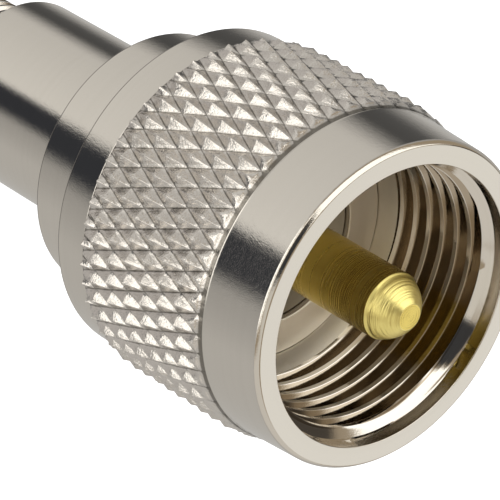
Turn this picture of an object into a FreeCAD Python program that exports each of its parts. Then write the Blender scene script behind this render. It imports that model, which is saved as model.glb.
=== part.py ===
import FreeCAD, Part
import Sketcher
import math
import os

# Coaxial adapter. A knurled coupling nut with a gold pin inside it faces up (+Z), and a small
# threaded end faces down. The origin is the centre of the lower end face. All in millimetres.

doc = FreeCAD.newDocument("adapter")

# Driving sizes. Radii are measured from the axis, lengths along it.
sizes = {
    # turned body, from the lower end upwards
    "end_thread_radius": 4.0,
    "end_thread_length": 8.5,
    "end_chamfer": 0.4,
    "end_wall": 0.5,
    "end_bore_depth": 4.0,
    "undercut_depth": 0.5,
    "undercut_width": 0.8,
    "barrel_radius": 5.25,
    "barrel_length": 11.5,
    "barrel_chamfer": 0.3,
    "neck_radius": 6.65,
    "neck_length": 7.45,
    "collar_rise": 0.95,
    "collar_length": 4.35,
    "edge_break": 0.12,
    "ring_seat_depth": 0.7,
    "ring_seat_height": 2.15,
    "head_round": 0.2,
    "front_bore_radius": 4.65,
    "dielectric_recess": 0.35,
    # coupling nut, from the bore outwards
    "nut_length": 16.05,
    "nut_thread_radius": 7.37,
    "nut_thread_length": 6.45,
    "lead_in_rise": 0.56,
    "lead_in_depth": 0.8,
    "lead_in_length": 0.5,
    "mouth_edge": 0.1,
    "mouth_wall": 1.29,
    "mouth_chamfer": 0.25,
    "thread_end_cone": 0.95,
    "nut_bore_clearance": 0.15,
    "nut_rear_chamfer": 0.2,
    "nut_play": 1.2,
    "rear_wall": 1.32,
    "rear_band_length": 2.15,
    # knurled grip
    "knurl_wall": 2.13,
    "knurl_depth": 0.42,
    "knurl_length": 9.75,
    "knurl_count": 51,
    "knurl_rows": 7,
    "knurl_core_depth": 0.3,
    "knurl_step_height": 0.1,
    "knurl_step_length": 0.25,
    # retaining ring
    "ring_inner_gap": 0.2,
    "ring_overlap": 0.9,
    "ring_outer_gap": 0.6,
    "ring_thickness": 0.8,
    "ring_gap_angle": 14.0,
    # pin and contact
    "pin_radius": 1.9,
    "pin_reach": 1.25,
    "pin_cone_length": 1.45,
    "pin_nose_step": 0.28,
    "pin_nose_length": 0.75,
    "pin_tip_radius": 0.8,
    "pin_shoulder": 0.4,
    "pin_stem_length": 7.45,
    "pin_tail_step": 0.25,
    "pin_tail_length": 8.0,
    "socket_radius": 0.5,
    "socket_depth": 3.6,
    "socket_end_gap": 0.2,
    "contact_radius": 0.8,
    "contact_setback": 0.8,
    "contact_chamfer": 0.3,
    "contact_shoulder": 0.25,
    "shoulder_chamfer": 0.1,
    # clearances
    "neck_clearance": 0.08,
    "ring_clearance": 0.1,
    "fit_clearance": 0.02,
}

sheet = doc.addObject("Spreadsheet::Sheet", "sizes")
for row, (alias, size) in enumerate(sizes.items(), start=1):
    sheet.set(f"A{row}", alias)
    sheet.set(f"B{row}", str(size))
    sheet.setAlias(f"B{row}", alias)
doc.recompute()

# Radii and levels that follow from the sizes, each a sum of them.
mouth_radius = "nut_thread_radius + lead_in_rise"
knurl_root = "nut_thread_radius + knurl_wall"
knurl_crest = f"{knurl_root} + knurl_depth"
front_band = f"{mouth_radius} + mouth_wall"
undercut_radius = "end_thread_radius - undercut_depth"
end_bore = f"{undercut_radius} - end_wall"
collar_radius = "neck_radius + collar_rise"
ring_seat = "neck_radius - ring_seat_depth"
ring_inner = f"{ring_seat} + ring_inner_gap"
ring_outer = "neck_radius + ring_overlap"
groove_radius = f"{ring_outer} + ring_outer_gap"
rear_band = f"{groove_radius} + rear_wall"
nut_rear_bore = "neck_radius + neck_clearance"
nut_bore_radius = "neck_radius + nut_bore_clearance"
pin_stem = "pin_radius - pin_shoulder"
pin_tail = f"{pin_stem} - pin_tail_step"
contact_stem = "contact_radius - contact_shoulder"
collar_low = "end_thread_length + barrel_length"
nut_seat = f"{collar_low} + collar_length"
front_face = f"{nut_seat} + neck_length"
mouth = f"{nut_seat} + nut_length"
ring_low = f"{nut_seat} + ring_seat_height"
ring_top = f"{ring_low} + ring_thickness + 2 * ring_clearance"
ring_stop = f"{ring_top} + nut_play"
knurl_low = f"{nut_seat} + rear_band_length"
knurl_top = f"{knurl_low} + knurl_length"
lead_in_top = f"{mouth} - lead_in_depth"
thread_top = f"{lead_in_top} - lead_in_length"
thread_low = f"{thread_top} - nut_thread_length"
dielectric_top = f"{front_face} - dielectric_recess"
pin_root = f"{dielectric_top} - pin_stem_length"
pin_top = f"{mouth} + pin_reach"
pin_nose = f"{pin_top} - pin_cone_length"
tail_low = f"{pin_root} - pin_tail_length"
stem_top = f"{tail_low} + socket_depth - socket_end_gap"


def bind(text):
    """Turn the names of sizes in a sum into references to the sheet's cells."""
    return " ".join(f"sizes.{word}" if word in sizes else word for word in text.split())


def add_up(text):
    """Work out a plain sum of sizes from the sheet's cells."""
    return sum(sheet.get(name) for name in text.split(" + "))


def origin_plane(body, role):
    """Find one of the body's own origin planes."""
    return next(feature for feature in body.Origin.OriginFeatures if feature.Role == role)


def place_corner(sketch, line, spot, radius, height):
    """Hold the start of a line at its radius and height. A term of 0 puts it on that axis."""
    across = ("DistanceX", -2, spot.x, radius)
    upwards = ("DistanceY", -1, spot.y, height)
    for kind, axis, start, term in (across, upwards):
        if term == "0":
            sketch.addConstraint(Sketcher.Constraint("PointOnObject", line, 1, axis))
            continue
        number = sketch.addConstraint(Sketcher.Constraint(kind, -1, 1, line, 1, start))
        sketch.setExpression(f"Constraints[{number}]", bind(term))


def turned_body(label, corners, angle="360"):
    """Revolve a closed section about Z. Each corner is (radius, height), as sums of sizes."""
    body = doc.addObject("PartDesign::Body", label)
    sketch = body.newObject("Sketcher::SketchObject", f"{label}_section")
    sketch.AttachmentSupport = (origin_plane(body, "XZ_Plane"), [""])
    sketch.MapMode = "FlatFace"
    count = len(corners)
    # The lines start on a rough curve, and their constraints move them into place.
    spots = [FreeCAD.Vector(5 + index, index * index / 4 + 1, 0) for index in range(count)]
    for index in range(count):
        sketch.addGeometry(Part.LineSegment(spots[index], spots[(index + 1) % count]))
    for index in range(count):
        sketch.addConstraint(Sketcher.Constraint("Coincident", index, 2, (index + 1) % count, 1))
    for index, (radius, height) in enumerate(corners):
        place_corner(sketch, index, spots[index], radius, height)
    turn = body.newObject("PartDesign::Revolution", f"{label}_turn")
    turn.Profile = sketch
    turn.ReferenceAxis = (sketch, ["V_Axis"])
    turn.setExpression("Angle", bind(angle))
    doc.recompute()
    return body


def round_top_edge(body, radius, size):
    """Round the highest circular edge of this radius."""
    circles = [
        (edge.Curve.Center.z, number)
        for number, edge in enumerate(body.Tip.Shape.Edges, start=1)
        if isinstance(edge.Curve, Part.Circle) and abs(edge.Curve.Radius - radius) < 0.001
    ]
    fillet = body.newObject("PartDesign::Fillet", f"{body.Name}_round")
    fillet.Base = (body.getObject(f"{body.Name}_turn"), [f"Edge{max(circles)[1]}"])
    fillet.setExpression("Radius", bind(size))
    doc.recompute()


def knurl_shape():
    """A short rod whose side is a diamond knurl: rows of four-sided pyramids, staggered by half."""
    count = int(sheet.get("knurl_count"))
    rows = int(sheet.get("knurl_rows"))
    low = add_up(knurl_low)
    step = sheet.get("knurl_length") / rows
    root_radius = add_up(knurl_root)
    crest_radius = add_up(knurl_crest)

    def vertex(radius, column, row):
        angle = 2 * math.pi * column / count
        return FreeCAD.Vector(radius * math.cos(angle), radius * math.sin(angle), low + step * row)

    def root(column, row):
        return vertex(root_radius, column, row)

    faces = []
    for row in range(rows + 1):
        for index in range(count):
            column = index + 0.5 * (row % 2)
            peak = vertex(crest_radius, column + 0.5, row)
            for side in (column, column + 1):
                for tip in (row - 1, row + 1):
                    if 0 <= tip <= rows:
                        corners = [peak, root(side, row), root(column + 0.5, tip), peak]
                        faces.append(Part.Face(Part.makePolygon(corners)))
    for row in (0, rows):
        rim = []
        for index in range(count):
            column = index + 0.5 * (row % 2)
            rim.append(root(column, row))
            rim.append(vertex(crest_radius, column + 0.5, row))
        faces.append(Part.Face(Part.makePolygon(rim + rim[:1])))
    shell = Part.Shell(faces)
    shell.sewShape()
    solid = Part.Solid(Part.Shell(shell.Faces))
    solid.fix(0.001, 0.001, 0.001)
    if solid.Volume < 0:
        solid.reverse()
    return solid


# Turned body: threaded end, barrel, collar, grooved neck and the flat head inside the nut.
main_body = turned_body("main_body", [
    (end_bore, "0"),
    ("end_thread_radius - end_chamfer", "0"),
    ("end_thread_radius", "end_chamfer"),
    ("end_thread_radius", "end_thread_length - undercut_width"),
    (undercut_radius, "end_thread_length - undercut_width"),
    (undercut_radius, "end_thread_length"),
    ("barrel_radius - barrel_chamfer", "end_thread_length"),
    ("barrel_radius", "end_thread_length + barrel_chamfer"),
    ("barrel_radius", collar_low),
    (f"{collar_radius} - edge_break", collar_low),
    (collar_radius, f"{collar_low} + edge_break"),
    (collar_radius, f"{nut_seat} - edge_break"),
    (f"{collar_radius} - edge_break", nut_seat),
    ("neck_radius", nut_seat),
    ("neck_radius", ring_low),
    (ring_seat, ring_low),
    (ring_seat, ring_stop),
    ("neck_radius", ring_stop),
    ("neck_radius", front_face),
    ("front_bore_radius", front_face),
    ("front_bore_radius", collar_low),
    (end_bore, collar_low),
])
round_top_edge(main_body, sheet.get("neck_radius"), "head_round")

# Coupling nut: turned outside, knurled grip, and the bore with its ring groove and end cone.
nut_blank = turned_body("nut_blank", [
    ("0", nut_seat),
    (f"{rear_band} - edge_break", nut_seat),
    (rear_band, f"{nut_seat} + edge_break"),
    (rear_band, knurl_low),
    (f"{knurl_root} - knurl_core_depth", knurl_low),
    (f"{knurl_root} - knurl_core_depth", knurl_top),
    (f"{knurl_root} + knurl_step_height", knurl_top),
    (front_band, f"{knurl_top} + knurl_step_length"),
    (front_band, f"{mouth} - mouth_chamfer"),
    (f"{front_band} - mouth_chamfer", mouth),
    ("0", mouth),
])
nut_bore = turned_body("nut_bore", [
    ("0", f"{nut_seat} - nut_rear_chamfer"),
    (f"{nut_rear_bore} + 2 * nut_rear_chamfer", f"{nut_seat} - nut_rear_chamfer"),
    (nut_rear_bore, f"{nut_seat} + nut_rear_chamfer"),
    (nut_rear_bore, ring_low),
    (groove_radius, ring_low),
    (groove_radius, ring_top),
    (nut_bore_radius, ring_top),
    (nut_bore_radius, f"{thread_low} - thread_end_cone"),
    ("nut_thread_radius", thread_low),
    ("nut_thread_radius", thread_top),
    (mouth_radius, lead_in_top),
    (mouth_radius, f"{mouth} - mouth_edge"),
    (f"{mouth_radius} + 2 * mouth_edge", f"{mouth} + mouth_edge"),
    ("0", f"{mouth} + mouth_edge"),
])

nut_knurl = doc.addObject("Part::Feature", "nut_knurl")
nut_knurl.Shape = knurl_shape()

nut_outside = doc.addObject("Part::Fuse", "nut_outside")
nut_outside.Base = nut_blank
nut_outside.Tool = nut_knurl
coupling_nut = doc.addObject("Part::Cut", "coupling_nut")
coupling_nut.Base = nut_outside
coupling_nut.Tool = nut_bore

# Split ring in the nut's groove. It carries the nut and runs in the wider groove of the body.
retaining_ring = turned_body("retaining_ring", [
    (ring_inner, f"{ring_low} + ring_clearance"),
    (ring_outer, f"{ring_low} + ring_clearance"),
    (ring_outer, f"{ring_top} - ring_clearance"),
    (ring_inner, f"{ring_top} - ring_clearance"),
], "360 - ring_gap_angle")

# Front dielectric: a stepped bush in the head, which holds the pin by its stem.
front_dielectric = turned_body("front_dielectric", [
    (f"{pin_tail} + fit_clearance", collar_low),
    ("front_bore_radius - fit_clearance", collar_low),
    ("front_bore_radius - fit_clearance", dielectric_top),
    (f"{pin_stem} + fit_clearance", dielectric_top),
    (f"{pin_stem} + fit_clearance", pin_root),
    (f"{pin_tail} + fit_clearance", pin_root),
])

# Rear dielectric: a long bush between the pin's tail and the mouth of the threaded end.
rear_dielectric = turned_body("rear_dielectric", [
    (f"{contact_stem} + fit_clearance", "end_bore_depth"),
    (f"{end_bore} - fit_clearance", "end_bore_depth"),
    (f"{end_bore} - fit_clearance", collar_low),
    (f"{pin_tail} + fit_clearance", collar_low),
    (f"{pin_tail} + fit_clearance", tail_low),
    (f"{contact_stem} + fit_clearance", tail_low),
])

# Centre pin: blunt nose, shank, the stem in the dielectric, and a thinner tail with a socket in its end.
center_pin = turned_body("center_pin", [
    ("socket_radius", tail_low),
    (pin_tail, tail_low),
    (pin_tail, pin_root),
    (pin_stem, pin_root),
    (pin_stem, dielectric_top),
    ("pin_radius - shoulder_chamfer", dielectric_top),
    ("pin_radius", f"{dielectric_top} + shoulder_chamfer"),
    ("pin_radius", pin_nose),
    ("pin_radius - pin_nose_step", f"{pin_nose} + pin_nose_length"),
    ("pin_tip_radius", pin_top),
    ("0", pin_top),
    ("0", f"{tail_low} + socket_depth"),
    ("socket_radius", f"{tail_low} + socket_depth"),
])

# Rear contact: the small pin of the threaded end. The end of its stem sits in the pin's socket.
rear_contact = turned_body("rear_contact", [
    ("0", "contact_setback"),
    ("contact_radius - contact_chamfer", "contact_setback"),
    ("contact_radius", "contact_setback + contact_chamfer"),
    ("contact_radius", "end_bore_depth - shoulder_chamfer"),
    ("contact_radius - shoulder_chamfer", "end_bore_depth"),
    (contact_stem, "end_bore_depth"),
    (contact_stem, tail_low),
    ("socket_radius - fit_clearance", tail_low),
    ("socket_radius - fit_clearance", stem_top),
    ("0", stem_top),
])

doc.recompute()

for item in doc.Objects:
    if "Invalid" in item.State or "Error" in item.State:
        raise RuntimeError(f"{item.Label} did not build: {item.State}")

nodes = [main_body, coupling_nut, retaining_ring, front_dielectric, rear_dielectric]
nodes += [center_pin, rear_contact]
for node in nodes:
    node.Label = node.Name
    if node.Shape.isNull() or not node.Shape.isValid():
        raise RuntimeError(f"{node.Label} has no valid shape")

os.makedirs("parts", exist_ok=True)
for node in nodes:
    node.Shape.exportStep(f"parts/{node.Label}.step")
    print(f"{node.Label}: {len(node.Shape.Solids)} solid, {node.Shape.Volume:.1f} mm3")
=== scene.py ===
import math
import random

import bmesh
import bpy
from mathutils import Matrix, Vector


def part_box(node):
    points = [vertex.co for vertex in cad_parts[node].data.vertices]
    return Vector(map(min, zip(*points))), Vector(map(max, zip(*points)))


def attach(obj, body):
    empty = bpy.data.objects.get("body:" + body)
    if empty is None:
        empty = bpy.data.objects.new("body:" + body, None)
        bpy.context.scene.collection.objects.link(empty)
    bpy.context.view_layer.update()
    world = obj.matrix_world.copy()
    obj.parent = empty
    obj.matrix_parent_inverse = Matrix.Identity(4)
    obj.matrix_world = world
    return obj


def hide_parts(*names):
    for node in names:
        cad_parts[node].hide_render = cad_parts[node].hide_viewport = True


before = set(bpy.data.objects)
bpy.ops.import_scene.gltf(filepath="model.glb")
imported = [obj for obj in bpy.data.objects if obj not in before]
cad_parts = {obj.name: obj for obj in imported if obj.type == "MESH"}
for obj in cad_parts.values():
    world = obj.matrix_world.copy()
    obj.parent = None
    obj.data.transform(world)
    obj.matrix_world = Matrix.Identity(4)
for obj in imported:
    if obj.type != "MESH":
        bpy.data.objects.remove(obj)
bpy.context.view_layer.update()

# A coaxial adapter: a knurled coupling nut with a gold pin faces up, a small thread faces down.
# Sizes in the dictionaries are in millimetres, and Blender works in metres.
mm = 0.001
fullTurn = 2 * math.pi
stage = bpy.context.scene
chance = random.Random(24)


def heights(node):  # lowest and highest level of a CAD node, in millimetres
    low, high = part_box(node)
    return low.z / mm, high.z / mm


def tone(red, green, blue):  # a colour as the eye reads it, 0 to 255, made linear
    return tuple(((part / 255 + 0.055) / 1.055) ** 2.4 for part in (red, green, blue)) + (1.0,)


# Shader helpers

def addNode(tree, kind, values=(), **settings):
    # values fills the inputs in order: a socket is linked, None is skipped, anything else is set
    node = tree.nodes.new(kind)
    for setting, choice in settings.items():
        setattr(node, setting, choice)
    for spot, value in zip(node.inputs, values):
        if isinstance(value, bpy.types.NodeSocket):
            tree.links.new(value, spot)
        elif value is not None:
            spot.default_value = value
    return node


def sums(tree, operation, *values):
    return addNode(tree, "ShaderNodeMath", values, operation=operation).outputs[0]


def spread(tree, value, ends, results, **settings):  # moves a value from one range to another
    return addNode(tree, "ShaderNodeMapRange", (value, *ends, *results), **settings).outputs[0]


def blendColours(tree, share, first, second):
    node = addNode(tree, "ShaderNodeMix", data_type="RGBA")
    for spot, value in ((0, share), (6, first), (7, second)):
        if isinstance(value, bpy.types.NodeSocket):
            tree.links.new(value, node.inputs[spot])
        else:
            node.inputs[spot].default_value = value
    return node.outputs[2]


def newGroup(name, inputs, outputs):
    group = bpy.data.node_groups.new(name, "ShaderNodeTree")
    for label, kind, value in inputs:
        socket = group.interface.new_socket(name=label, in_out="INPUT", socket_type=kind)
        if value is not None:
            socket.default_value = value
    for label, kind in outputs:
        group.interface.new_socket(name=label, in_out="OUTPUT", socket_type=kind)
    return group, group.nodes.new("NodeGroupInput").outputs, group.nodes.new("NodeGroupOutput").inputs


def useGroup(tree, group, values):
    node = tree.nodes.new("ShaderNodeGroup")
    node.node_tree = group
    for label, value in values.items():
        if isinstance(value, bpy.types.NodeSocket):
            tree.links.new(value, node.inputs[label])
        else:
            node.inputs[label].default_value = value
    return node.outputs


grainLook = {"coarse": 0.22, "coarseShare": 0.8, "pits": (0.62, 0.74), "mean": 0.9}
bandsLook = {"slant": 0.7, "coarse": 0.16, "ends": (0.3, 0.7)}


def makeGrainGroup(look):  # fine plating grain: a height and a mask of pits
    group, given, made = newGroup(
        "platingGrain",
        [("Vector", "NodeSocketVector", None), ("Size", "NodeSocketFloat", 0.07)],
        [("Height", "NodeSocketFloat"), ("Pits", "NodeSocketFloat")],
    )
    scale = sums(group, "DIVIDE", 1 / mm, given["Size"])
    grain = addNode(group, "ShaderNodeTexNoise", (given["Vector"], None, scale, 2.0, 0.6))
    coarseScale = sums(group, "MULTIPLY", scale, look["coarse"])
    coarse = addNode(group, "ShaderNodeTexNoise", (given["Vector"], None, coarseScale, 1.0))
    waves = sums(group, "MULTIPLY", coarse.outputs[0], look["coarseShare"])
    group.links.new(sums(group, "ADD", grain.outputs[0], waves), made["Height"])
    group.links.new(spread(group, grain.outputs[0], look["pits"], (0.0, 1.0)), made["Pits"])
    return group


def makeTurnedGroup(look):  # marks of the lathe: rings that wander slowly round the axis
    group, given, made = newGroup(
        "turnedMarks",
        [
            ("Vector", "NodeSocketVector", None),
            ("Pitch", "NodeSocketFloat", 0.05),
            ("Wander", "NodeSocketFloat", 0.3),
        ],
        [("Height", "NodeSocketFloat"), ("Bands", "NodeSocketFloat"), ("Radius", "NodeSocketFloat")],
    )
    parts = addNode(group, "ShaderNodeSeparateXYZ", (given["Vector"],)).outputs
    squares = [sums(group, "POWER", sums(group, "ABSOLUTE", parts[spot]), 2.0) for spot in (0, 1)]
    radius = sums(group, "SQRT", sums(group, "ADD", *squares))
    scale = sums(group, "DIVIDE", 1 / mm, given["Pitch"])
    slow = sums(group, "MULTIPLY", given["Wander"], 1 / mm)
    across = sums(group, "MULTIPLY", radius, scale)
    along = sums(group, "MULTIPLY", parts[2], scale)
    aslant = sums(group, "ADD", parts[0], sums(group, "MULTIPLY", parts[1], look["slant"]))
    around = sums(group, "MULTIPLY", aslant, slow)
    spot = addNode(group, "ShaderNodeCombineXYZ", (across, along, around)).outputs[0]
    marks = addNode(group, "ShaderNodeTexNoise", (spot, None, 1.0, 2.0, 0.6))
    bands = addNode(group, "ShaderNodeTexNoise", (spot, None, look["coarse"], 1.0, 0.5))
    group.links.new(marks.outputs[0], made["Height"])
    group.links.new(bands.outputs[0], made["Bands"])
    group.links.new(radius, made["Radius"])
    return group


platingGrain = makeGrainGroup(grainLook)
turnedMarks = makeTurnedGroup(bandsLook)


def newMaterial(name):
    material = bpy.data.materials.new(name)
    material.use_nodes = True
    tree = material.node_tree
    shader = tree.nodes["Principled BSDF"]
    place = tree.nodes.new("ShaderNodeTexCoord").outputs["Object"]
    return material, tree, shader, place


# Painted shade: a mask for the darker colour painted into the bottoms of grooves
def grooveShade(tree, look, place, grain, radius):  # 0 in the bottom of a groove, 1 on its crest
    if "grooveWobble" in look:
        wobble = sums(tree, "SUBTRACT", grain["Height"], grainLook["mean"])
        radius = sums(tree, "ADD", radius, sums(tree, "MULTIPLY", wobble, look["grooveWobble"] * mm))
    shade = spread(tree, radius, [spot * mm for spot in look["groove"]], (0.0, 1.0))
    level = addNode(tree, "ShaderNodeSeparateXYZ", (place,)).outputs[2]
    if "plainAbove" in look:
        shade = sums(tree, "MAXIMUM", shade, sums(tree, "GREATER_THAN", level, look["plainAbove"] * mm))
    # painted shadow: the colour goes darker above a level, on the knurl's front end
    if "shadowAbove" in look:
        bright = spread(tree, level, [spot * mm for spot in look["shadowAbove"]], (1.0, 0.0))
        shade = sums(tree, "MULTIPLY", shade, bright)
    if "speckle" in look:
        clean = sums(tree, "SUBTRACT", 1.0, sums(tree, "MULTIPLY", grain["Pits"], look["speckle"]))
        shade = sums(tree, "MULTIPLY", shade, clean)
    return shade


def makeMetal(name, look):
    material, tree, shader, place = newMaterial(name)
    shader.inputs["Metallic"].default_value = 1.0
    marks = {"Vector": place, "Pitch": look["markPitch"], "Wander": look["markWander"]}
    grain = useGroup(tree, platingGrain, {"Vector": place, "Size": look["grainSize"]})
    turned = useGroup(tree, turnedMarks, marks)
    colour = blendColours(tree, turned["Bands"], look["dark"], look["light"])
    # painted shade: the bottoms of grooves get a darker base colour
    if "groove" in look:
        shade = grooveShade(tree, look, place, grain, turned["Radius"])
        colour = blendColours(tree, shade, look["grooveShadeColour"], colour)
    tree.links.new(colour, shader.inputs["Base Color"])
    roughness = spread(tree, turned["Bands"], bandsLook["ends"], look["roughness"])
    tree.links.new(roughness, shader.inputs["Roughness"])
    grainHeight = sums(tree, "MULTIPLY", grain["Height"], look["grainDepth"] * mm)
    markHeight = sums(tree, "MULTIPLY", turned["Height"], look["markDepth"] * mm)
    height = sums(tree, "ADD", grainHeight, markHeight)
    if "apex" in look:  # tops that the knurling tool has torn
        ends = [spot * mm for spot in look["apex"]]
        top = spread(tree, turned["Radius"], ends, (0.0, look["apexDepth"] * mm))
        torn = useGroup(tree, platingGrain, {"Vector": place, "Size": look["apexSize"]})["Height"]
        height = sums(tree, "ADD", height, sums(tree, "MULTIPLY", torn, top))
    bump = addNode(tree, "ShaderNodeBump", (1.0, 1.0, None, height))
    tree.links.new(bump.outputs[0], shader.inputs["Normal"])
    return material


def makePlastic(name, look):
    material, tree, shader, place = newMaterial(name)
    shader.inputs["Roughness"].default_value = look["roughness"]
    marks = {"Vector": place, "Pitch": look["markPitch"], "Wander": look["markWander"]}
    turned = useGroup(tree, turnedMarks, marks)
    colour = blendColours(tree, turned["Bands"], look["dark"], look["light"])
    tree.links.new(colour, shader.inputs["Base Color"])
    height = sums(tree, "MULTIPLY", turned["Height"], look["markDepth"] * mm)
    bump = addNode(tree, "ShaderNodeBump", (1.0, 1.0, None, height))
    tree.links.new(bump.outputs[0], shader.inputs["Normal"])
    return material


finishes = {
    "nickel": {
        "light": (0.74, 0.7, 0.64, 1), "dark": (0.71, 0.67, 0.61, 1), "roughness": (0.06, 0.085),
        "grainSize": 0.065, "grainDepth": 0.004,
        "markPitch": 0.06, "markWander": 0.25, "markDepth": 0.0003,
    },
    "knurled nickel": {
        "light": (0.8, 0.76, 0.71, 1), "dark": (0.74, 0.7, 0.65, 1), "roughness": (0.12, 0.22),
        "grainSize": 0.11, "grainDepth": 0.024,
        "markPitch": 0.08, "markWander": 0.6, "markDepth": 0.0,
        # painted shade: a darker colour in the knurl's grooves
        "groove": (9.5, 9.54), "grooveShadeColour": (0.26, 0.24, 0.21, 1), "grooveWobble": 0.05,
        # painted shadow on the knurl's front end, above these heights
        "speckle": 0.3, "shadowAbove": (36.13, 36.2),
        "apex": (9.62, 9.82), "apexDepth": 0.05, "apexSize": 0.12,
    },
    "satin nickel": {
        "light": (0.9, 0.85, 0.76, 1), "dark": (0.85, 0.8, 0.71, 1), "roughness": (0.38, 0.44),
        "grainSize": 0.05, "grainDepth": 0.0015,
        "markPitch": 0.05, "markWander": 0.2, "markDepth": 0.001,
    },
    "bore nickel": {
        "light": (0.8, 0.76, 0.7, 1), "dark": (0.72, 0.68, 0.62, 1), "roughness": (0.05, 0.09),
        "grainSize": 0.08, "grainDepth": 0.0012,
        "markPitch": 0.05, "markWander": 0.2, "markDepth": 0.0008,
        # painted shade: the thread flanks get a darker colour, except on the lead-in
        "groove": (7.42, 7.39), "grooveShadeColour": (0.47, 0.4, 0.31, 1), "plainAbove": 39.12,
    },
    "edge shade nickel": {  # painted shade: a darker copy of nickel on the rounded edges
        "light": (0.3, 0.27, 0.24, 1), "dark": (0.24, 0.22, 0.2, 1), "roughness": (0.25, 0.35),
        "grainSize": 0.08, "grainDepth": 0.002,
        "markPitch": 0.05, "markWander": 0.2, "markDepth": 0.0008,
    },
    "gold": {
        "light": (0.9, 0.74, 0.22, 1), "dark": (0.82, 0.64, 0.17, 1), "roughness": (0.22, 0.3),
        "grainSize": 0.06, "grainDepth": 0.001,
        "markPitch": 0.09, "markWander": 0.35, "markDepth": 0.024,
    },
    "turned gold": {
        "light": (1.0, 0.88, 0.34, 1), "dark": (0.94, 0.8, 0.28, 1), "roughness": (0.28, 0.34),
        "grainSize": 0.06, "grainDepth": 0.001,
        "markPitch": 0.11, "markWander": 0.4, "markDepth": 0.05,
    },
    "spring bronze": {
        "light": (0.62, 0.44, 0.25, 1), "dark": (0.5, 0.35, 0.19, 1), "roughness": (0.25, 0.35),
        "grainSize": 0.08, "grainDepth": 0.002,
        "markPitch": 0.05, "markWander": 0.3, "markDepth": 0.001,
    },
}
nickel = makeMetal("nickel", finishes["nickel"])
knurledNickel = makeMetal("knurledNickel", finishes["knurled nickel"])
boreNickel = makeMetal("boreNickel", finishes["bore nickel"])
satinNickel = makeMetal("satinNickel", finishes["satin nickel"])
edgeShadeNickel = makeMetal("edgeShadeNickel", finishes["edge shade nickel"])
gold = makeMetal("gold", finishes["gold"])
turnedGold = makeMetal("turnedGold", finishes["turned gold"])
springBronze = makeMetal("springBronze", finishes["spring bronze"])
tanDielectric = makePlastic("tanDielectric", {
    "light": tone(140, 128, 106), "dark": tone(126, 114, 94), "roughness": 0.42,
    "markPitch": 0.05, "markWander": 0.2, "markDepth": 0.002,
})
whiteDielectric = makePlastic("whiteDielectric", {
    "light": tone(236, 234, 228), "dark": tone(228, 225, 217), "roughness": 0.45,
    "markPitch": 0.05, "markWander": 0.2, "markDepth": 0.002,
})
print("materials made")


# Mesh helpers

def layOutline(bm, corners, closed=True):
    # corners are (radius, height, rounding), and a rounding of 0 leaves the corner as it is
    points = [bm.verts.new((radius * mm, 0, height * mm)) for radius, height, _ in corners]
    following = points[1:] + points[:1] if closed else points[1:]
    for start, end in zip(points, following):
        bm.edges.new((start, end))
    for size in sorted({corner[2] for corner in corners} - {0}):
        same = [point for point, corner in zip(points, corners) if corner[2] == size]
        bmesh.ops.bevel(
            bm, geom=same, offset=size * mm, segments=4, profile=0.5, affect="VERTICES", material=-1
        )


def turnOutline(corners, steps, closed):
    bm = bmesh.new()
    layOutline(bm, corners, closed)
    bmesh.ops.spin(
        bm, geom=bm.verts[:] + bm.edges[:], cent=(0, 0, 0), axis=(0, 0, 1), dvec=(0, 0, 0),
        angle=fullTurn, steps=steps, use_merge=True, use_duplicate=False,
    )
    bmesh.ops.remove_doubles(bm, verts=bm.verts[:], dist=0.0002 * mm)
    return bm


def addSection(bm, section, material=0):  # moves a finished section into the mesh it belongs to
    for face in section.faces:
        face.material_index = material
    mesh = bpy.data.meshes.new("section")
    section.to_mesh(mesh)
    section.free()
    bm.from_mesh(mesh)
    bpy.data.meshes.remove(mesh)


def radiusOf(vert):
    return math.hypot(vert.co.x, vert.co.y) / mm


def paintFaces(bm, material, belongs):  # belongs gets a face's radius and height, in millimetres
    for face in bm.faces:
        spot = face.calc_center_median()
        if belongs(math.hypot(spot.x, spot.y) / mm, spot.z / mm):
            face.material_index = material


def limitRadius(verts, limit, inside):
    # a lathe cut: points past limit(height) are brought back to it
    for vert in verts:
        radius = radiusOf(vert)
        allowed = limit(vert.co.z / mm)
        if (radius < allowed) if inside else (radius > allowed):
            share = allowed / radius
            vert.co.x *= share
            vert.co.y *= share


def openLoop(bm, height, low, high, slack=0.004):  # the open edges at one level between two radii
    return [
        edge for edge in bm.edges
        if edge.is_boundary and all(
            low < radiusOf(vert) < high and abs(vert.co.z / mm - height) < slack for vert in edge.verts
        )
    ]


def joinLoops(bm, first, second):
    bmesh.ops.bridge_loops(bm, edges=first + second)


def trimLevel(bm, low, high):
    for level, outer, inner in ((low, False, True), (high, True, False)):
        bmesh.ops.bisect_plane(
            bm, geom=bm.verts[:] + bm.edges[:] + bm.faces[:], dist=0.0001 * mm,
            plane_co=(0, 0, level * mm), plane_no=(0, 0, 1), clear_outer=outer, clear_inner=inner,
        )


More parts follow.
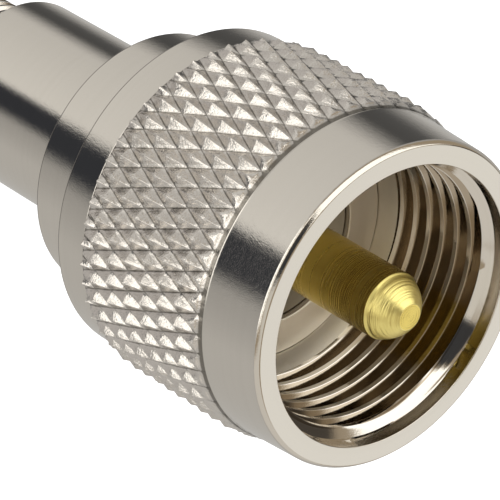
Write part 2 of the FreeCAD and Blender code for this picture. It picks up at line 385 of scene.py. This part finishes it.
def cutThread(thread, low, high, limit, inside, steps=144):
    # one turn of the thread's outline is swept, stacked, then trimmed level at both ends
    pitch, crest, root = thread["pitch"], thread["crest"], thread["root"]
    crestFlat, rootFlat = (pitch * share for share in thread["flats"])
    flank = (pitch - crestFlat - rootFlat) / 2
    start = low - 2 * pitch + thread["phase"] * pitch
    turns = math.ceil((high - start) / pitch) + 1
    shares = (0, *thread["flankPoints"], 1)
    rise = [(share, rootFlat + flank * share) for share in shares]
    fall = [(1 - share, rootFlat + flank + crestFlat + flank * share) for share in shares]
    bm = bmesh.new()
    points = [
        bm.verts.new(((root + (crest - root) * share) * mm, 0, (start + height) * mm))
        for share, height in [(0, 0)] + rise + fall
    ]
    edges = [bm.edges.new(pair) for pair in zip(points, points[1:])]
    bmesh.ops.spin(
        bm, geom=points + edges, cent=(0, 0, 0), axis=(0, 0, 1), dvec=(0, 0, pitch * mm / steps),
        angle=fullTurn, steps=steps, use_merge=False, use_duplicate=False,
    )
    turn = bm.verts[:] + bm.edges[:] + bm.faces[:]
    for count in range(1, turns):
        copied = bmesh.ops.duplicate(bm, geom=turn)["geom"]
        moved = [item for item in copied if isinstance(item, bmesh.types.BMVert)]
        bmesh.ops.translate(bm, verts=moved, vec=(0, 0, count * pitch * mm))
    bmesh.ops.remove_doubles(bm, verts=bm.verts[:], dist=0.0005 * mm)
    limitRadius(bm.verts, limit, inside)
    trimLevel(bm, low, high)
    return bm


def finishPiece(name, bm, materials, body, node, crease=40):
    gaps = len([edge for edge in bm.edges if edge.is_boundary])
    bmesh.ops.recalc_face_normals(bm, faces=bm.faces[:])
    mesh = bpy.data.meshes.new(name)
    bm.to_mesh(mesh)
    bm.free()
    for material in materials:
        mesh.materials.append(material)
    mesh.shade_smooth()
    mesh.set_sharp_from_angle(angle=math.radians(crease))
    piece = bpy.data.objects.new(name, mesh)
    stage.collection.objects.link(piece)
    weighting = piece.modifiers.new("evenShading", "WEIGHTED_NORMAL")
    weighting.keep_sharp = True
    weighting.weight = 80
    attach(piece, body)
    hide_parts(node)
    print(name, len(mesh.polygons), "faces,", gaps, "open edges")


# Coupling nut

nutLow, nutMouth = heights("coupling_nut")
nutLook = {
    "steps": 306,
    "rearBand": 9.47,
    "rearBandLength": 2.15,
    # painted shade: length and depth of the darker band at the rear edge
    "shadedEdgeLength": 0.08,
    "shadedEdgeDepth": 0.06,
    "rearBore": 6.73,
    "middleBore": 6.8,
    "ringGroove": 8.15,
    "ringGrooveHeights": (2.15, 3.15),
    "endCone": (7.35, 8.3),
    "frontBand": 9.22,
    "frontRidge": ((9.475, 0.04), (9.445, 0.13)),
    "frontEdge": 9.02,
    "frontEdgeLength": 0.22,
    "mouthBore": 7.93,
    "leadInDepth": 0.8,
}
threadLook = {
    "pitch": 25.4 / 24,
    "crest": 7.37,
    "root": 7.93,
    "leadIn": 0.5,
    "phase": 0.3,
    "flats": (0.25, 0.21),
    "flankPoints": (0.08, 0.3, 0.55, 0.8, 0.93),
}
knurlLook = {
    "columns": 51,
    "rows": 7,
    "length": 9.75,
    "root": 9.5,
    "crest": 9.93,
    "foot": 9.46,
    "rearCone": (0.0, 9.47, 0.2, 9.95),
    "frontCone": (9.0, 9.9, 9.85, 9.45),
    "ridgeDepth": 0.1,
    "ridgeRounding": 0.025,
    "longestEdge": 0.25,
    "tear": 0.018,
    "tearAbove": 0.45,
    "turn": -2.6,
    "rise": -0.28,
}


def coneLimit(low, lowRadius, high, highRadius, offset):
    def limit(height):
        share = (height - offset - low) / (high - low)
        return lowRadius + (highRadius - lowRadius) * share
    return limit


def buildKnurl(look, low):
    # flat diamonds are poked into pyramids, bent round the axis, then copied round it
    columns, rows = look["columns"], look["rows"]
    bm = bmesh.new()
    halfWidth = 180 / columns  # in degrees until the bend
    halfHeight = look["length"] / rows
    for row in range(-1, rows + 3):
        centre = halfWidth * (1 + row % 2)
        made = bmesh.ops.create_circle(bm, cap_ends=True, radius=1.0, segments=4)
        place = Matrix.Translation((centre, halfHeight * row, 0))
        size = Matrix.Diagonal((halfWidth, halfHeight, 1, 1))
        bmesh.ops.transform(bm, matrix=place @ size, verts=made["verts"])
    bmesh.ops.poke(bm, faces=bm.faces[:], offset=look["crest"] - look["root"])
    for vert in bm.verts:
        angle = math.radians(vert.co.x + look["turn"])
        radius = look["root"] + abs(vert.co.z)
        height = low + look["rise"] + vert.co.y
        vert.co = Vector((radius * math.cos(angle), radius * math.sin(angle), height)) * mm
    bmesh.ops.spin(
        bm, geom=bm.verts[:] + bm.edges[:] + bm.faces[:], cent=(0, 0, 0), axis=(0, 0, 1), dvec=(0, 0, 0),
        angle=fullTurn, steps=columns, use_merge=False, use_duplicate=True,
    )
    bmesh.ops.remove_doubles(bm, verts=bm.verts[:], dist=0.002 * mm)
    bmesh.ops.recalc_face_normals(bm, faces=bm.faces[:])
    ridgeLow = look["crest"] - look["ridgeDepth"]
    ridges = [
        edge for edge in bm.edges
        if len(edge.link_faces) == 2 and max(radiusOf(vert) for vert in edge.verts) > ridgeLow
    ]
    bmesh.ops.bevel(
        bm, geom=ridges, offset=look["ridgeRounding"] * mm, segments=2, profile=0.5, affect="EDGES",
        material=-1, clamp_overlap=True,
    )
    bmesh.ops.triangulate(bm, faces=bm.faces[:])
    longEdges = [edge for edge in bm.edges if edge.calc_length() > look["longestEdge"] * mm]
    bmesh.ops.subdivide_edges(bm, edges=longEdges, cuts=2, use_grid_fill=True)
    for vert in bm.verts:
        above = (radiusOf(vert) - look["root"]) / (look["crest"] - look["root"])
        tear = look["tear"] * max(0.0, above - look["tearAbove"])
        vert.co += Vector([chance.uniform(-1, 1) for _ in range(3)]) * tear * mm
    trimLevel(bm, low, low + look["frontCone"][2])
    limitRadius(bm.verts, coneLimit(*look["rearCone"], low), False)
    limitRadius(bm.verts, coneLimit(*look["frontCone"], low), False)
    return bm


def buildNut():
    look, thread, knurl = nutLook, threadLook, knurlLook
    knurlLow = nutLow + look["rearBandLength"]
    knurlTop = knurlLow + knurl["frontCone"][2]
    leadTop = nutMouth - look["leadInDepth"]
    threadHigh = leadTop - thread["leadIn"]
    coneLow, coneHigh = (nutLow + height for height in look["endCone"])
    grooveLow, grooveHigh = (nutLow + height for height in look["ringGrooveHeights"])
    leadIn = coneLimit(threadHigh, thread["crest"], leadTop, look["mouthBore"], 0)
    seam = 0.01  # the strips that join the sections
    bm = bmesh.new()
    addSection(bm, buildKnurl(knurl, knurlLow), 1)
    addSection(bm, cutThread(thread, coneHigh, leadTop - 2 * seam, leadIn, True), 2)
    addSection(bm, turnOutline([  # from the end of the thread down the bore and up the rear band
        (thread["crest"] - seam, coneHigh - seam, 0),
        (look["middleBore"], coneLow, 0.05),
        (look["middleBore"], grooveHigh, 0.03),
        (look["ringGroove"], grooveHigh, 0.03),
        (look["ringGroove"], grooveLow, 0.03),
        (look["rearBore"], grooveLow, 0.03),
        (look["rearBore"], nutLow, 0.2),
        (look["rearBand"], nutLow, 0.05),
        (look["rearBand"], nutLow + look["shadedEdgeLength"], 0),
        (look["rearBand"], knurlLow - 0.05, 0.03),
        (knurl["foot"], knurlLow - seam, 0),
    ], look["steps"], False))
    addSection(bm, turnOutline([  # from the knurl's front over the mouth to the lead-in
        (knurl["frontCone"][3], knurlTop + seam, 0),
        (look["frontRidge"][0][0], knurlTop + look["frontRidge"][0][1], 0.01),
        (look["frontRidge"][1][0], knurlTop + look["frontRidge"][1][1], 0),
        (look["frontBand"], nutMouth - look["frontEdgeLength"], 0.08),
        (look["frontEdge"], nutMouth, 0.05),
        (look["mouthBore"], nutMouth, 0.05),
        (look["mouthBore"], leadTop, 0),
    ], look["steps"], False))
    outside, inside = (9.0, 10.0), (7.0, 8.5)  # radii between which open edges are looked for
    joinLoops(bm, openLoop(bm, knurlLow, *outside), openLoop(bm, knurlLow - seam, *outside))
    joinLoops(bm, openLoop(bm, knurlTop, *outside), openLoop(bm, knurlTop + seam, *outside))
    joinLoops(bm, openLoop(bm, leadTop - 2 * seam, *inside), openLoop(bm, leadTop, *inside))
    joinLoops(bm, openLoop(bm, coneHigh, *inside), openLoop(bm, coneHigh - seam, *inside))
    edgeTop, edgeRadius = nutLow + look["shadedEdgeLength"], look["rearBand"] - look["shadedEdgeDepth"]
    paintFaces(bm, 3, lambda radius, height: height < coneHigh and radius < thread["crest"])
    # painted shade along the rear edge of the rear band
    paintFaces(bm, 4, lambda radius, height: height < edgeTop and radius > edgeRadius)
    return bm


nutFinishes = [nickel, knurledNickel, boreNickel, satinNickel, edgeShadeNickel]
finishPiece("couplingNut", buildNut(), nutFinishes, "nut", "coupling_nut")


# Turned body

_, bodyTop = heights("main_body")
bodyLook = {
    "steps": 240,
    "endBore": 3.0,
    "endThreadTop": 7.7,
    "undercut": 3.5,
    "barrel": 5.25,
    "barrelLow": 8.05,
    "collar": 7.6,
    "collarLow": 20.0,
    "collarLength": 4.35,
    # painted shade: length and depth of the darker band at the collar's edge
    "shadedEdgeLength": 0.08,
    "shadedEdgeDepth": 0.07,
    "neck": 6.65,
    "head": 6.75,
    "ringSeat": 5.95,
    "ringSeatHeights": (2.15, 4.35),
    "frontBore": 4.65,
    "satinDepth": 0.15,
}
endThreadLook = {
    "pitch": 0.75,
    "crest": 4.0,
    "root": 3.54,
    "rimStep": 0.05,
    "phase": 0.1,
    "flats": (0.25, 0.125),
    "flankPoints": (0.1, 0.5, 0.9),
}


def buildBody():
    look, thread = bodyLook, endThreadLook
    undercutLow, barrelLow, collarLow = look["endThreadTop"], look["barrelLow"], look["collarLow"]
    neckLow = collarLow + look["collarLength"]
    seatLow, seatHigh = (neckLow + height for height in look["ringSeatHeights"])
    rim = thread["root"] - thread["rimStep"]
    chamfer = coneLimit(0, rim, thread["crest"] - rim, thread["crest"], 0)
    seam = 0.01  # the strip between the rim and the thread
    bm = bmesh.new()
    addSection(bm, cutThread(thread, seam, undercutLow, chamfer, False))
    addSection(bm, turnOutline([
        (look["undercut"], undercutLow, 0),
        (look["undercut"], barrelLow, 0.08),
        (look["barrel"], barrelLow, 0.3),
        (look["barrel"], collarLow, 0.05),
        (look["collar"], collarLow, 0.05),
        (look["collar"], collarLow + look["shadedEdgeLength"], 0),
        (look["collar"], neckLow, 0.1),
        (look["neck"], neckLow, 0.05),
        (look["neck"], seatLow, 0.04),
        (look["ringSeat"], seatLow, 0.04),
        (look["ringSeat"], seatHigh, 0.04),
        (look["head"], seatHigh, 0.04),
        (look["head"], bodyTop, 0.2),
        (look["frontBore"], bodyTop, 0.08),
        (look["frontBore"], collarLow, 0),
        (look["endBore"], collarLow, 0),
        (look["endBore"], 0, 0.1),
        (rim, 0, 0),
    ], look["steps"], False))
    rimRing, threadRing, undercutRing = (3.3, 4.1), (3.52, 4.1), (3.4, 3.51)  # radii of open edges
    joinLoops(bm, openLoop(bm, seam, *rimRing), openLoop(bm, 0, *rimRing))
    joinLoops(bm, openLoop(bm, undercutLow, *threadRing), openLoop(bm, undercutLow, *undercutRing))
    satinLow, edgeRadius = bodyTop - look["satinDepth"], look["collar"] - look["shadedEdgeDepth"]
    edgeLow, edgeTop = collarLow - look["shadedEdgeLength"], collarLow + look["shadedEdgeLength"]
    paintFaces(bm, 1, lambda radius, height: height > satinLow)
    # painted shade along the collar's rear edge
    paintFaces(bm, 2, lambda radius, height: edgeLow < height < edgeTop and radius > edgeRadius)
    return bm


bodyFinishes = [nickel, satinNickel, edgeShadeNickel]
finishPiece("turnedBody", buildBody(), bodyFinishes, "adapter", "main_body")


# Pin, contact and dielectrics

pinLow, pinTip = heights("center_pin")
rearLow, rearHigh = heights("rear_dielectric")
frontLow, frontHigh = heights("front_dielectric")
contactLow, contactHigh = heights("rear_contact")
pinLook = {
    "steps": 160,
    "shank": 1.9,
    "stem": 1.5,
    "tail": 1.25,
    "stemLength": 7.45,
    "socket": 0.5,
    "socketDepth": 3.6,
    "shoulder": (0.06, 0.04),
    "noseLength": 1.45,
    "noseStep": (1.6, 0.72),
    "tip": 0.74,
    "turnedFrom": 0.71,
}
stemLow = frontHigh - pinLook["stemLength"]
noseLow = pinTip - pinLook["noseLength"]
pin = turnOutline([
    (0, pinLow + pinLook["socketDepth"], 0),
    (pinLook["socket"], pinLow + pinLook["socketDepth"], 0),
    (pinLook["socket"], pinLow, 0.05),
    (pinLook["tail"], pinLow, 0.1),
    (pinLook["tail"], stemLow, 0),
    (pinLook["stem"], stemLow, 0.05),
    (pinLook["stem"], frontHigh, 0),
    (pinLook["shank"], frontHigh, 0.08),
    (pinLook["shank"], noseLow, 0.1),
    (pinLook["shank"] - pinLook["shoulder"][0], noseLow + pinLook["shoulder"][1], 0),
    (pinLook["noseStep"][0], noseLow + pinLook["noseStep"][1], 0.55),
    (pinLook["tip"], pinTip, 0.06),
    (0, pinTip, 0),
], pinLook["steps"], False)
paintFaces(pin, 1, lambda radius, height: height > noseLow and radius > pinLook["turnedFrom"])
finishPiece("centerPin", pin, [gold, turnedGold], "adapter", "center_pin")
clearance = 0.02  # between the metal and the dielectrics
finishPiece("frontDielectric", turnOutline([
    (pinLook["tail"] + clearance, frontLow, 0),
    (bodyLook["frontBore"] - clearance, frontLow, 0),
    (bodyLook["frontBore"] - clearance, frontHigh, 0.1),
    (pinLook["stem"] + clearance, frontHigh, 0.04),
    (pinLook["stem"] + clearance, stemLow, 0),
    (pinLook["tail"] + clearance, stemLow, 0),
], pinLook["steps"], True), [tanDielectric], "adapter", "front_dielectric")
contactLook = {
    "steps": 96,
    "bushSteps": 120,
    "pin": 0.8,
    "stem": 0.55,
    "tail": 0.48,
    "nose": (0.2, 0.3),
}
finishPiece("rearDielectric", turnOutline([
    (contactLook["stem"] + clearance, rearLow, 0.04),
    (bodyLook["endBore"] - clearance, rearLow, 0.1),
    (bodyLook["endBore"] - clearance, rearHigh, 0),
    (pinLook["tail"] + clearance, rearHigh, 0),
    (pinLook["tail"] + clearance, pinLow, 0),
    (contactLook["stem"] + clearance, pinLow, 0),
], contactLook["bushSteps"], True), [whiteDielectric], "adapter", "rear_dielectric")
finishPiece("rearContact", turnOutline([
    (0, contactLow, 0),
    (contactLook["pin"] - contactLook["nose"][0], contactLow, 0.15),
    (contactLook["pin"], contactLow + contactLook["nose"][1], 0.1),
    (contactLook["pin"], rearLow, 0.08),
    (contactLook["stem"], rearLow, 0),
    (contactLook["stem"], pinLow, 0),
    (contactLook["tail"], pinLow, 0),
    (contactLook["tail"], contactHigh, 0.04),
    (0, contactHigh, 0),
], contactLook["steps"], False), [gold], "adapter", "rear_contact")
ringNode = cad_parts["retaining_ring"]
ringNode.data.materials.clear()
ringNode.data.materials.append(springBronze)
print("pieces made")


# Studio: floor, world, lamp and camera

floorLook = {"size": 2.0, "colour": (0.9, 0.9, 0.9, 1), "glow": 0.35}


def makeFloor(look):
    bm = bmesh.new()
    bmesh.ops.create_grid(bm, x_segments=1, y_segments=1, size=look["size"])
    mesh = bpy.data.meshes.new("floor")
    bm.to_mesh(mesh)
    bm.free()
    floor = bpy.data.objects.new("floor", mesh)
    stage.collection.objects.link(floor)
    floor.visible_glossy = False  # the metal shows the studio's walls instead
    material, tree, shader, _ = newMaterial("floorPaper")
    shader.inputs["Base Color"].default_value = look["colour"]
    shader.inputs["Roughness"].default_value = 1.0
    shader.inputs["Specular IOR Level"].default_value = 0.0
    seen = tree.nodes.new("ShaderNodeLightPath").outputs["Is Camera Ray"]
    tree.links.new(sums(tree, "MULTIPLY", seen, look["glow"]), shader.inputs["Emission Strength"])
    shader.inputs["Emission Color"].default_value = (1, 1, 1, 1)
    mesh.materials.append(material)


# What polished metal reflects, in degrees: turn goes anticlockwise from +X as seen from above,
# rise goes up from the horizon, and each panel has its middle and its half width.
studioLook = {
    "plain": (0.8, 0.8, 0.8, 1),  # the light that matt surfaces get
    "behind": (1, 1, 1, 1),
    "floorGlow": (0.52, 0.5, 0.48),
    "floorEdge": (-60, -54),
    "walls": {  # where each starts and ends, how light it is there, and its colour
        "far paper": {"turn": (0, 120), "light": (0.55, 0.5), "colour": (1, 0.98, 0.94)},
        "left flag": {"turn": (145, 165), "light": (0.1, 0.08), "colour": (1, 1, 1)},
        "front paper": {"turn": (185, 274), "light": (0.65, 0.8), "colour": (1, 0.98, 0.94)},
        "right flag": {"turn": (279, 303), "light": (0.05, 0.05), "colour": (0.8, 0.85, 1)},
        "right paper": {"turn": (314, 350), "light": (0.4, 0.55), "colour": (1, 0.98, 0.94)},
    },
    "wallTop": (-29, -25),
    "skirt": (0.5, 0.49, 0.47),
    "skirtTop": (-4, 4),
    "skirtShare": 0.75,
    "ceiling": (0.38, 0.315, 0.23),
    "panels": {
        "dark corner": {"turn": (125, 13), "rise": (27, 12), "soft": 3, "colour": (0.07, 0.06, 0.05)},
        "side softbox": {"turn": (194, 50), "rise": (49, 26), "soft": 3, "colour": (1.6, 1.58, 1.5)},
        "front strip": {"turn": (280, 42), "rise": (21, 5), "soft": 2, "colour": (1.6, 1.58, 1.5)},
        "low softbox": {"turn": (289, 31), "rise": (-8, 16), "soft": 9, "colour": (1.75, 1.72, 1.65)},
        "back wall": {"turn": (89, 26), "rise": (39, 15), "soft": 4, "colour": (0.93, 0.92, 0.88)},
        "far corner": {"turn": (325, 32), "rise": (45, 12), "soft": 4, "colour": (0.72, 0.69, 0.63)},
        "left wall": {"turn": (20, 42), "rise": (18, 24), "soft": 4, "colour": (0.7, 0.67, 0.62)},
        "camera": {"turn": (272, 24), "rise": (49, 15), "soft": 4, "colour": (0.045, 0.045, 0.047)},
    },
}


def softStep(tree, value, ends, results):
    return spread(tree, value, ends, results, interpolation_type="SMOOTHSTEP")


def makePanelGroup():  # 1 inside a panel of the studio, 0 outside it
    labels = ("Turn", "Rise", "Across", "Half", "Up", "Tall", "Soft")
    group, given, made = newGroup(
        "studioPanel",
        [(label, "NodeSocketFloat", 0.0) for label in labels],
        [("Mask", "NodeSocketFloat")],
    )
    aside = sums(group, "SUBTRACT", given["Turn"], given["Across"])
    aside = sums(group, "WRAP", aside, 180.0, -180.0)
    above = sums(group, "SUBTRACT", given["Rise"], given["Up"])
    masks = []
    for gap, reach in ((aside, "Half"), (above, "Tall")):
        before = sums(group, "SUBTRACT", given[reach], given["Soft"])
        after = sums(group, "ADD", given[reach], given["Soft"])
        masks.append(softStep(group, sums(group, "ABSOLUTE", gap), (before, after), (1.0, 0.0)))
    group.links.new(sums(group, "MULTIPLY", *masks), made["Mask"])
    return group


def makeWorld(look):
    world = bpy.data.worlds.new("studio")
    stage.world = world
    world.use_nodes = True
    tree = world.node_tree
    tree.nodes.clear()
    way = tree.nodes.new("ShaderNodeTexCoord").outputs["Generated"]
    parts = addNode(tree, "ShaderNodeSeparateXYZ", (way,)).outputs
    rise = sums(tree, "DEGREES", sums(tree, "ARCSINE", parts[2]))
    turn = sums(tree, "DEGREES", sums(tree, "ARCTAN2", parts[1], parts[0]))
    turn = sums(tree, "WRAP", turn, 360.0, 0.0)
    walls = addNode(tree, "ShaderNodeValToRGB", (sums(tree, "DIVIDE", turn, 360.0),))
    ramp = walls.color_ramp
    stops = [
        (angle / 360, [part * light for part in wall["colour"]])
        for wall in look["walls"].values()
        for angle, light in zip(wall["turn"], wall["light"])
    ]
    for spot, (share, colour) in enumerate(stops):
        stop = ramp.elements[spot] if spot < 2 else ramp.elements.new(share)
        stop.position = share
        stop.color = (*colour, 1)
    colour = walls.outputs[0]
    levels = [  # where each level starts and ends, its share below and above, and its colour
        (look["floorEdge"], (1.0, 0.0), look["floorGlow"]),
        (look["wallTop"], (0.0, look["skirtShare"]), look["skirt"]),
        (look["skirtTop"], (0.0, 1.0), look["ceiling"]),
    ]
    for edge, shares, level in levels:
        colour = blendColours(tree, softStep(tree, rise, edge, shares), colour, (*level, 1))
    group = makePanelGroup()
    for panel in look["panels"].values():
        values = {
            "Turn": turn, "Rise": rise, "Across": panel["turn"][0], "Half": panel["turn"][1],
            "Up": panel["rise"][0], "Tall": panel["rise"][1], "Soft": panel["soft"],
        }
        mask = useGroup(tree, group, values)["Mask"]
        colour = blendColours(tree, mask, colour, (*panel["colour"], 1))
    path = tree.nodes.new("ShaderNodeLightPath").outputs
    shiny = addNode(tree, "ShaderNodeBackground", (colour, 1.0)).outputs[0]
    plain = addNode(tree, "ShaderNodeBackground", (look["plain"], 1.0)).outputs[0]
    white = addNode(tree, "ShaderNodeBackground", (look["behind"], 1.0)).outputs[0]
    mixed = addNode(tree, "ShaderNodeMixShader", (path["Is Glossy Ray"], plain, shiny)).outputs[0]
    seen = addNode(tree, "ShaderNodeMixShader", (path["Is Camera Ray"], mixed, white)).outputs[0]
    addNode(tree, "ShaderNodeOutputWorld", (seen,))


lampLook = {"size": 0.4, "power": 2.0, "place": (-0.25, -0.2, 0.45), "tilt": -35}


def makeLamp(look):
    lamp = bpy.data.lights.new("keyLamp", "AREA")
    lamp.shape = "DISK"
    lamp.size = look["size"]
    lamp.energy = look["power"]
    holder = bpy.data.objects.new("keyLamp", lamp)
    tilt = Matrix.Rotation(math.radians(look["tilt"]), 4, "Y")
    holder.matrix_world = Matrix.Translation(look["place"]) @ tilt
    holder.visible_glossy = False
    stage.collection.objects.link(holder)


cameraLook = {"place": (1.24, -136.08, 149.80), "tilt": 48.62, "roll": 120.87, "lens": 243.9}


def makeCamera(look):
    camera = bpy.data.cameras.new("photoView")
    camera.sensor_width = 36
    camera.lens = look["lens"]
    camera.clip_start = 0.01
    camera.clip_end = 20
    holder = bpy.data.objects.new("photoView", camera)
    tilt = Matrix.Rotation(math.radians(look["tilt"]), 4, "X")
    roll = Matrix.Rotation(math.radians(look["roll"]), 4, "Z")
    holder.matrix_world = Matrix.Translation(Vector(look["place"]) * mm) @ tilt @ roll
    stage.collection.objects.link(holder)
    stage.camera = holder


makeFloor(floorLook)
makeWorld(studioLook)
makeLamp(lampLook)
makeCamera(cameraLook)
stage.view_settings.view_transform = "Standard"
print("studio made")
